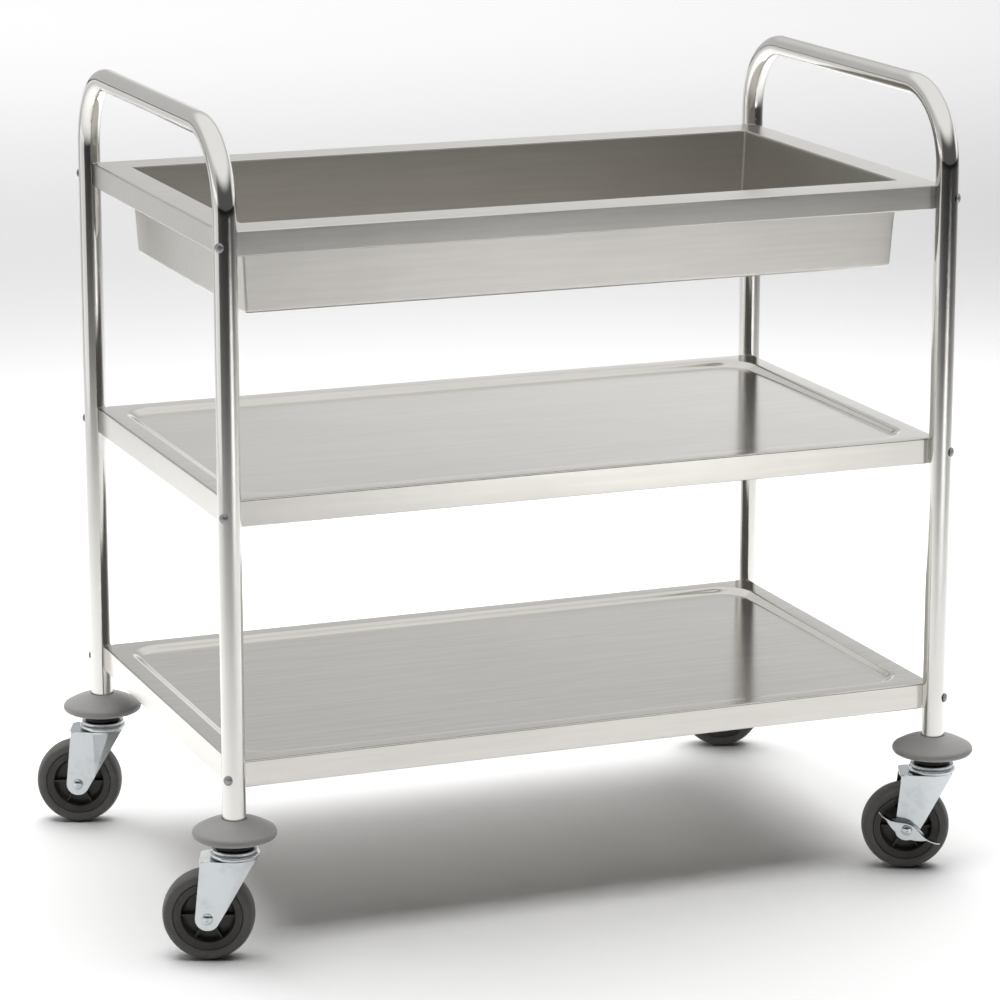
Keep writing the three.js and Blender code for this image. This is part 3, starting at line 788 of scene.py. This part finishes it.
class TROLLEY_OT_tray(bpy.types.Operator):
    """Fold the frame of the top tier and weld the deep tray under it"""

    bl_idname = "trolley.tray"
    bl_label = "Deep tray"

    def execute(self, context):
        sizes = context.scene.trolley_sheets
        node = "top_tray_frame"
        high = highest(node).z
        half_x = size(node).x / 2 - sizes.tray_border_x
        half_y = size(node).y / 2 - sizes.tray_border_y
        lip = 0.8 * MM
        lip_curve = [(0.2 * MM, 0.05 * MM), (0.3 * MM, 0.2 * MM), (0.2 * MM, 0.35 * MM)]
        rim = notched_block("tray_rim", node, sizes)
        folded(rim, node, sizes)
        with editing(rim):
            outline_in(rim, (SHELF_MIDDLE, 0, high), half_x + lip, half_y + lip, 0)
            sink(lip_curve)
            bpy.ops.mesh.delete(type="FACE")
            border_filled(rim, high)
        wall(rim, sizes.thickness)
        joined(rim, *weld_nuts(node, sizes))
        smooth(rim)
        given(rim, "root", finish("tray"), "brushed_stainless", node)
        self.well(sizes, half_x, half_y)
        return {"FINISHED"}

    def well(self, sizes, half_x, half_y):
        """A flange, a soft bend down, leaning walls and a bend in along the floor."""
        low, high = lowest("deep_tray").z, highest("deep_tray").z
        drop = high - low - sizes.thickness
        mouth, bend, corner = 1.0 * MM, sizes.tray_bend, 2.2 * MM
        lean = sizes.tray_taper * (drop - 2 * bend) / drop
        well = added("tray_well", bpy.ops.mesh.primitive_plane_add, size=1,
                     location=(SHELF_MIDDLE, 0, high))
        well.scale = (2 * (half_x + sizes.flange), 2 * (half_y + sizes.flange), 1)
        settle(well)
        with editing(well):
            bpy.ops.mesh.select_all(action="SELECT")
            bpy.ops.mesh.inset(thickness=sizes.flange - mouth)
            sink([(0.6 * mouth, 0.15 * mouth), (0.4 * mouth, 0.85 * mouth)])
            sink([(lean, drop - mouth - bend)])
            sink([(0.15 * bend, 0.55 * bend), (0.35 * bend, 0.33 * bend), (0.5 * bend, 0.12 * bend)])
            pick(well, "EDGE", upright)
            bpy.ops.mesh.bevel(offset=corner, segments=3, affect="EDGES")
        wall(well, sizes.thickness)
        smooth(well)
        given(well, "root", finish("tray"), "brushed_stainless", "deep_tray")


class TROLLEY_OT_shelf_screws(bpy.types.Operator):
    """Put a domed screw through each post into each tier"""

    bl_idname = "trolley.shelf_screws"
    bl_label = "Shelf screws"

    def execute(self, context):
        base = TUBE_RADIUS + 0.2 * MM
        head, rim, rise, tip = 5.25 * MM, 0.5 * MM, 2.8 * MM, 0.15 * MM
        shank, depth = 2.5 * MM, 20 * MM
        profile = [(shank, -depth), (shank, base), (head, base),
                   *domed(head, base + rim, rise - rim), (tip, base + rise)]
        screw = turned("screw", profile, segments=32)
        smooth(screw, 40)
        for tier, node in TIERS.items():
            for corner, (side_x, side_y) in CORNERS.items():
                name = f"{tier}_{corner}_screw"
                at = Matrix.Translation(post(corner) + Vector((0, 0, middle(node).z)))
                copy = copied(screw, name + "_head", at @ aimed(side_x, side_y))
                given(copy, "root", finish("screw"), "screw_steel", name)
        bpy.data.objects.remove(screw)
        return {"FINISHED"}


# ---- Casters -----------------------------------------------------------------------------------
def caster_place(corner):
    """From a caster standing at the origin, its wheel towards -X, to a corner of the trolley."""
    return Matrix.Translation(post(corner)) @ Matrix.Rotation(CASTER_TURN, 4, "Z")


def at_corners(piece, part, key, slot, body="root"):
    """Copies a piece to the four casters, each copy standing for that caster's node."""
    for corner in CORNERS:
        node = f"{corner}_{part}"
        copy = copied(piece, node + "_part", caster_place(corner))
        given(copy, body.format(corner=corner), finish(key), slot, node)
    bpy.data.objects.remove(piece)


class TROLLEY_OT_bumpers(bpy.types.Operator):
    """Turn the four round bumpers and the seals below them"""

    bl_idname = "trolley.bumpers"
    bl_label = "Bumpers and seals"

    def execute(self, context):
        bore = TUBE_RADIUS + 0.3 * MM
        low, high = lowest("front_left_bumper").z, highest("front_left_bumper").z
        edge, shoulder = 5 * MM, 3 * MM
        crown = high - low - edge
        reach = BUMPER_RADIUS - bore
        fullness = 1.55  # 1 would be a cone and 2 a parabola
        shares = [1 - 0.06 * step for step in range(1, 16)]
        dome = [(bore + reach * share, low + edge + shoulder
                 + (crown - shoulder) * (1 - share ** fullness)) for share in shares]
        profile = [
            (bore, low), (BUMPER_RADIUS - 6 * MM, low),
            *arc((BUMPER_RADIUS - edge, low + edge), edge, -78, 36, 10), *dome,
            (bore + 1.2 * MM, high), (bore + 0.3 * MM, high - 0.3 * MM),
            (bore, high - 1.2 * MM), (bore, low),
        ]
        bumper = turned("bumper", profile, segments=96)
        smooth(bumper)
        at_corners(bumper, "bumper", "bumper", "bumper_plastic")

        low, high = lowest("front_left_seal_ring").z, highest("front_left_seal_ring").z
        radius = size("front_left_seal_ring").y / 2
        neck, bead, beads = radius - 1.5 * MM, 1.6 * MM, 3
        pitch = (high - low) / beads
        profile = [(STEM_BORE, low), (neck, low)]
        for index in range(beads):
            profile += arc((radius - bead, low + pitch * (index + 0.5)), bead, -80, 80, 6)
        profile += [(neck, high), (STEM_BORE, high), (STEM_BORE, low)]
        seal = turned("seal", profile)
        smooth(seal, 50)
        at_corners(seal, "seal_ring", "seal", "seal_rubber")
        return {"FINISHED"}


class TROLLEY_OT_swivel_heads(bpy.types.Operator):
    """Turn the ball race covers and the stem bolts that hold them"""

    bl_idname = "trolley.swivel_heads"
    bl_label = "Swivel heads"

    def execute(self, context):
        low, high = HEAD_FOOT, highest("front_left_swivel_head").z
        radius = size("front_left_swivel_head").y / 2
        race, lip = 3.1 * MM, 1.2 * MM  # radii of the bead round the balls and of the edge above
        profile = [
            (STEM_BORE, low), (20 * MM, low), (radius - 4.4 * MM, low + 0.1 * MM),
            *arc((radius - race, low + 3.2 * MM), race, -75, 60, 12),
            (radius - 2.2 * MM, low + 6.6 * MM), (radius - 2.9 * MM, low + 6.9 * MM),
            (radius - 3.0 * MM, low + 7.6 * MM),
            *arc((radius - 3.4 * MM, low + 8.7 * MM), lip, -50, 80, 6),
            (radius - 5.4 * MM, high), (STEM_BORE, high), (STEM_BORE, low),
        ]
        head = turned("swivel_head", profile)
        smooth(head, 40)
        at_corners(head, "swivel_head", "zinc", "zinc_plate")

        foot, top = lowest("front_left_stem_bolt").z, highest("front_left_stem_bolt").z
        thread, nut, nut_height = 5.9 * MM, 8.9 * MM, 5.9 * MM
        shaft = turned("stem", [(thread, foot + 5 * MM), (thread, top - 9 * MM),
                                (6.9 * MM, top - 8 * MM), (10 * MM, top - 1 * MM),
                                (9.4 * MM, top), (2 * MM, top)], segments=32)
        hexagon = upright_rod("hexagon", nut, foot, foot + nut_height, segments=6)
        with editing(hexagon):
            pick(hexagon, "EDGE", lambda edge: level(edge, foot))
            bpy.ops.mesh.bevel(offset=0.8 * MM, segments=2, affect="EDGES")
        bolt = joined(shaft, hexagon)
        smooth(bolt)
        at_corners(bolt, "stem_bolt", "zinc", "zinc_plate")
        return {"FINISHED"}


class TROLLEY_OT_forks(bpy.types.Operator):
    """Press the caster forks: a crown with a rounded tab and two creased legs"""

    bl_idname = "trolley.forks"
    bl_label = "Caster forks"

    def execute(self, context):
        sizes = context.scene.trolley_casters
        inner = sizes.fork_gap / 2
        outer = inner + sizes.fork_plate
        fork = self.crown(sizes, outer)
        for side in (-1, 1):
            near, far = sorted((side * inner, side * outer))
            leg = self.leg(sizes, near, far)
            self.crease(leg, side)
            cut(fork, leg, "UNION")
        cut(fork, rod_across("eye", sizes.axle_radius + 0.4 * MM, -outer - CLEAR, outer + CLEAR,
                             (-TRAIL, WHEEL_RADIUS)))
        cut(fork, upright_rod("bore", 6.5 * MM, FORK_TOP - CLEAR, FORK_TOP + CLEAR))
        finish_with(fork, "BEVEL", width=0.7 * MM, segments=3, limit_method="ANGLE",
                    angle_limit=math.radians(50))
        closed(fork)
        smooth(fork, 8)
        at_corners(fork, "fork", "zinc", "zinc_plate", body="{corner}_swivel")
        return {"FINISHED"}

    def crown(self, sizes, outer):
        """A round plate under the race with a rounded tab over the wheel."""
        low = FORK_TOP - sizes.fork_plate
        head, tab, nose = 24 * MM, 8 * MM, 37.5 * MM
        plate = upright_rod("fork", head, low, FORK_TOP, segments=96)
        for side in (-1, 1):
            centre = (tab - nose, side * (outer - tab))
            cut(plate, upright_rod("tab", tab, low, FORK_TOP, centre, segments=48), "UNION")
        with editing(plate):
            bpy.ops.mesh.select_all(action="SELECT")
            bpy.ops.mesh.convex_hull()
        return plate

    def leg(self, sizes, near, far):
        """A tapered plate from the crown to its round foot at the axle."""
        top = FORK_TOP - 0.6 * MM
        back, front, depth = -36 * MM, 22.5 * MM, 1 * MM
        leg = rod_across("leg", sizes.fork_foot, near, far, (-TRAIL, WHEEL_RADIUS), segments=96)
        shoulder = block("shoulder", (back, near, top - depth), (front, far, top))
        joined(leg, shoulder)
        with editing(leg):
            bpy.ops.mesh.select_all(action="SELECT")
            bpy.ops.mesh.convex_hull()
            bpy.ops.mesh.select_all(action="SELECT")
            bpy.ops.mesh.dissolve_limited(angle_limit=math.radians(0.5))
        return leg

    def crease(self, leg, side):
        """Turns the plate in towards the round head, along creases that fan up to the crown."""
        foot = Vector((-8.5 * MM, 0, 60 * MM))  # where the creases meet
        shoulder = 100 * MM  # only what stands above this is turned in
        for top_x, inwards in ((-10 * MM, 7 * MM), (9 * MM, 3.4 * MM)):
            along = Vector((top_x, 0, FORK_TOP)) - foot
            across = Vector((-along.z, 0, along.x)).normalized()
            with editing(leg):
                bpy.ops.mesh.select_all(action="SELECT")
                bpy.ops.mesh.bisect(plane_co=foot, plane_no=across)
                pick(leg, "VERT", lambda vertex: (vertex.co - foot).dot(across) < -NEAR
                     and vertex.co.z > shoulder)
                bpy.ops.transform.translate(value=(0, -side * inwards, 0))


class TROLLEY_OT_wheels(bpy.types.Operator):
    """Turn the tyres, the ribbed hubs and the riveted axles"""

    bl_idname = "trolley.wheels"
    bl_label = "Wheels"

    def execute(self, context):
        sizes = context.scene.trolley_casters
        to_axle = Matrix.Translation((-TRAIL, 0, WHEEL_RADIUS)) @ Matrix.Rotation(QUARTER, 4, "X")
        tyre = self.tyre(sizes)
        settle(tyre, to_axle)
        at_corners(tyre, "tyre", "tyre", "tyre_rubber", body="{corner}_wheel")
        hub = self.hub(sizes)
        settle(hub, to_axle)
        at_corners(hub, "hub", "hub", "hub_plastic", body="{corner}_wheel")
        for corner in CORNERS:
            rivet = self.rivet(sizes, corner in BRAKED)
            settle(rivet, caster_place(corner) @ to_axle)
            given(rivet, corner + "_swivel", finish("zinc"), "zinc_plate", corner + "_axle")
            rivet.name = corner + "_rivet"
        return {"FINISHED"}

    def tyre(self, sizes):
        half = sizes.tyre_width / 2
        seat = sizes.seat_radius + 0.15 * MM
        side = [
            (seat, half - 2.6 * MM), (seat + 0.9 * MM, half - 1.2 * MM),
            (seat + 2.2 * MM, half - 0.6 * MM), (seat + 4.5 * MM, half - 0.1 * MM),
            (WHEEL_RADIUS - 5.6 * MM, half), (WHEEL_RADIUS - 4.0 * MM, half - 0.4 * MM),
            (WHEEL_RADIUS - 2.7 * MM, half - 1.5 * MM), (WHEEL_RADIUS - 1.7 * MM, half - 4.0 * MM),
            (WHEEL_RADIUS - 0.5 * MM, half - 8.5 * MM),
        ]
        other = [(radius, -height) for radius, height in side]
        tread = [(WHEEL_RADIUS, -2 * MM), (WHEEL_RADIUS, 2 * MM)]
        piece = turned("tyre", [*other, *tread, *reversed(side), other[0]], segments=128)
        smooth(piece, 30)
        return piece

    def hub(self, sizes):
        half = 14 * MM
        seat, opening = sizes.seat_radius, sizes.opening_radius
        boss, bore, web = 9 * MM, 6.3 * MM, 1.5 * MM
        reach = sizes.fork_gap / 2 - 1.8 * MM
        side = [
            (bore, reach), (boss - 0.6 * MM, reach), (boss, reach - 0.6 * MM),
            (boss + 0.8 * MM, web + 0.8 * MM), (boss + 1.8 * MM, web),
            (opening - 3.2 * MM, web), (opening - 1.4 * MM, web + 1.2 * MM),
            (opening, half - 2.4 * MM), (opening + 0.6 * MM, half - 1.6 * MM),
            (seat - 0.9 * MM, half), (seat, half - 0.6 * MM),
        ]
        other = [(radius, -height) for radius, height in side]
        body = turned("hub", [*side, *reversed(other), side[0]], segments=96)
        ribs = []
        count, rib_half, rib_reach = 6, 0.9 * MM, 9 * MM
        for index in range(count):
            rib = block("rib", (boss - 0.5 * MM, -rib_half, -rib_reach),
                        (opening + 0.3 * MM, rib_half, rib_reach))
            with editing(rib):
                pick(rib, "EDGE", lambda edge: abs(edge.verts[0].co.x - edge.verts[1].co.x) > MM)
                bpy.ops.mesh.bevel(offset=0.35 * MM, segments=2, affect="EDGES")
            settle(rib, Matrix.Rotation(index * math.tau / count, 4, "Z"))
            ribs.append(rib)
        joined(body, *ribs)
        smooth(body, 30)
        return body

    def rivet(self, sizes, braked):
        back = sizes.fork_gap / 2 + sizes.fork_plate + 0.1 * MM
        front = back + (2.5 * MM if braked else 0)
        head, rim, rise = sizes.rivet_radius, 0.6 * MM, 3 * MM
        dimple = [(1.6 * MM, rise - 0.1 * MM), (0.8 * MM, rise - 0.5 * MM)]
        cap = [(head - rim / 2, 0), (head, rim / 2), *domed(head, rim, rise - rim), *dimple]
        profile = [(radius, -back - height) for radius, height in reversed(cap)]
        profile += [(sizes.axle_radius, -back), (sizes.axle_radius, front)]
        profile += [(radius, front + height) for radius, height in cap]
        piece = turned("rivet", profile, segments=40)
        smooth(piece, 40)
        return piece


class TROLLEY_OT_brake_pedals(bpy.types.Operator):
    """Press the two brake pedals: a lens-shaped face with a folded strip and two foot wings"""

    bl_idname = "trolley.brake_pedals"
    bl_label = "Brake pedals"

    def execute(self, context):
        sizes = context.scene.trolley_casters
        pedal = self.pedal(sizes)
        outward = sizes.fork_gap / 2 + sizes.fork_plate + 0.3 * MM
        lean = (Matrix.Translation((-TRAIL, -outward, WHEEL_RADIUS))
                @ Matrix.Rotation(sizes.pedal_tilt, 4, "Y"))
        for corner in BRAKED:
            copy = copied(pedal, corner + "_pedal_plate", caster_place(corner) @ lean)
            given(copy, corner + "_pedal", finish("zinc"), "zinc_plate", corner + "_brake_pedal")
        bpy.data.objects.remove(pedal)
        return {"FINISHED"}

    def ridge(self, x):
        """Height of the strip: a hump over the rivet, and wings that turn up at the ends."""
        hump = 7.0 * math.exp(-((x / (17 * MM)) ** 2))
        wings = 18 * (x / (60 * MM)) ** 4
        return (2.2 + hump + wings) * MM

    def pedal(self, sizes):
        """A strip bent over the face: a long plate in steps, each raised to the ridge."""
        half, width, plate, waist = 39.5 * MM, 13 * MM, 1.6 * MM, 24 * MM
        strip = added("pedal", bpy.ops.mesh.primitive_grid_add, x_subdivisions=48,
                      y_subdivisions=6, size=1, location=(0, -width / 2, 0))
        strip.scale = (2 * half, width, 1)
        settle(strip)
        for vertex in strip.data.vertices:
            x, y, _ = vertex.co
            taper = math.sqrt(max(0.0, 1 - (abs(x) / (half * 1.02)) ** 5))
            narrow = 1 if abs(x) > waist else 0.8 + 0.2 * (x / waist) ** 2
            vertex.co.y = -width / 2 * (1 - taper) + y * taper * narrow
            vertex.co.z = self.ridge(x)
        finish_with(strip, "SOLIDIFY", thickness=plate, offset=-1)
        face = self.face()
        joined(strip, face)
        finish_with(strip, "BEVEL", width=0.35 * MM, segments=2, limit_method="ANGLE",
                    angle_limit=math.radians(50))
        smooth(strip, 40)
        return strip

    def face(self):
        """The lens where two large rods cross, thinned to a plate."""
        half, height, plate, eye = 27 * MM, 9.5 * MM, 2 * MM, 4.3 * MM
        bend = (half ** 2 + height ** 2) / (2 * height)
        lens = rod_across("face", bend, -plate, 0, (0, height - bend), segments=256)
        other = rod_across("other", bend, -plate * 2, plate, (0, bend - height), segments=256)
        cut(lens, other, "INTERSECT")
        cut(lens, rod_across("eye", eye, -plate * 3, plate * 3))
        return lens


class TROLLEY_OT_inner_parts(bpy.types.Operator):
    """Give the hidden sleeves and bushes their nylon"""

    bl_idname = "trolley.inner_parts"
    bl_label = "Inner parts"

    def execute(self, context):
        for corner in CORNERS:
            for part in ("expander", "bush"):
                node = frame["nodes"][f"{corner}_{part}"]
                for slot in node.material_slots:
                    slot.material = finish("nylon")
        return {"FINISHED"}


# ---- Studio ------------------------------------------------------------------------------------
class TROLLEY_OT_studio(bpy.types.Operator):
    """Lay the pale floor, hang the soft lights and place the camera"""

    bl_idname = "trolley.studio"
    bl_label = "Studio"

    def execute(self, context):
        studio = context.scene.trolley_studio
        floor = added("floor", bpy.ops.mesh.primitive_plane_add, size=60)
        with editing(floor):
            bpy.ops.mesh.select_all(action="SELECT")
            bpy.ops.mesh.subdivide(number_cuts=4)
        floor.data.materials.append(finish("floor"))
        self.sky(context.scene, studio)
        self.light_box("overhead", studio.overhead, place=(0.3, 0.5, 2.7), sides=(4.2, 3.4),
                       spread=110)
        self.light_box("behind", studio.behind, place=(1.0, 8.0, 4.2), sides=(13, 9), spread=180)
        self.light_box("front", studio.front, place=(1.1, -2.8, 1.5), sides=(0.4, 2.0), spread=90,
                       turn=(0, 0, studio.heading))
        self.light_box("left", studio.left, place=(-2.7, 0.7, 0.55), sides=(1.1, 2.6), spread=180,
                       turn=(0, -QUARTER, 0), mirrored=True)
        self.camera(context.scene, studio)
        context.scene.view_settings.view_transform = "Standard"
        return {"FINISHED"}

    def sky(self, scene, studio):
        """What the steel mirrors: a pale dome, dusky low down in front, with a glow behind.

        It is seen directly and in reflections, and lights nothing by itself.
        """
        scene.world = bpy.data.worlds.new("studio")
        scene.world.use_nodes = True
        scene.world.cycles_visibility.diffuse = False
        room = Finish.over(scene.world.node_tree)
        direction = room.node("ShaderNodeTexCoord", output="Generated")
        parts = room.node("ShaderNodeSeparateXYZ", None, {"Vector": direction}).socket.node
        x, y, z = (Value(room, socket) for socket in parts.outputs)
        high = room.band(z, 0.3, 0.65)
        away = room.band(y, -0.45, 0.0)
        glow = room.band(z, 0.14, 0.32, 1.0, 0.0) * room.band(x, 0.1, 0.5) * away
        low = studio.dusk + away * (studio.daylight - studio.dusk) + glow * studio.glow
        background = scene.world.node_tree.nodes["Background"]
        room.put(background.inputs["Color"], (1, 1, 1, 1))
        room.put(background.inputs["Strength"], low + high * (studio.dome - low))

    def light_box(self, name, power, place, sides, spread, turn=(0, 0, 0), mirrored=False):
        """A soft box that shines down within its spread, in degrees."""
        bpy.ops.object.light_add(type="AREA", location=place, rotation=turn)
        light = bpy.context.object
        light.name = name
        light.visible_glossy = mirrored
        light.data.shape = "RECTANGLE"
        light.data.size, light.data.size_y = sides
        light.data.spread = math.radians(spread)
        light.data.energy = power

    def camera(self, scene, studio):
        bpy.ops.object.camera_add(location=studio.camera)
        camera = bpy.context.object
        camera.name = "camera"
        flat = math.cos(studio.dip)
        look = Vector((math.sin(studio.heading) * flat, math.cos(studio.heading) * flat,
                       -math.sin(studio.dip)))
        camera.rotation_euler = look.to_track_quat("-Z", "Y").to_euler()
        camera.data.lens = studio.lens
        scene.camera = camera


class TROLLEY_PT_panel(bpy.types.Panel):
    bl_label = "Serving trolley"
    bl_idname = "TROLLEY_PT_panel"
    bl_space_type = "VIEW_3D"
    bl_region_type = "UI"
    bl_category = "Trolley"

    def draw(self, context):
        for group in GROUPS:
            box = self.layout.box()
            settings = getattr(context.scene, group)
            for key in settings.bl_rna.properties.keys():
                if key not in ("rna_type", "name"):
                    box.prop(settings, key)
        for operator in OPERATORS:
            self.layout.operator(operator.bl_idname)


OPERATORS = (
    TROLLEY_OT_studio,
    TROLLEY_OT_frame_tubes,
    TROLLEY_OT_shelves,
    TROLLEY_OT_tray,
    TROLLEY_OT_shelf_screws,
    TROLLEY_OT_bumpers,
    TROLLEY_OT_swivel_heads,
    TROLLEY_OT_forks,
    TROLLEY_OT_wheels,
    TROLLEY_OT_brake_pedals,
    TROLLEY_OT_inner_parts,
)
GROUPS = {
    "trolley_sheets": TrolleySheetSizes,
    "trolley_tubes": TrolleyTubeSizes,
    "trolley_casters": TrolleyCasterSizes,
    "trolley_colours": TrolleyColours,
    "trolley_studio": TrolleyStudio,
}


def register():
    for group in (*GROUPS.values(), *OPERATORS, TROLLEY_PT_panel):
        bpy.utils.register_class(group)
    for key, group in GROUPS.items():
        setattr(bpy.types.Scene, key, bpy.props.PointerProperty(type=group))


def unregister():
    for key in GROUPS:
        delattr(bpy.types.Scene, key)
    for group in (TROLLEY_PT_panel, *reversed(OPERATORS), *GROUPS.values()):
        bpy.utils.unregister_class(group)


def main():
    register()
    for operator in OPERATORS:
        family, name = operator.bl_idname.split(".")
        getattr(getattr(bpy.ops, family), name)()


if __name__ == "__main__":
    main()
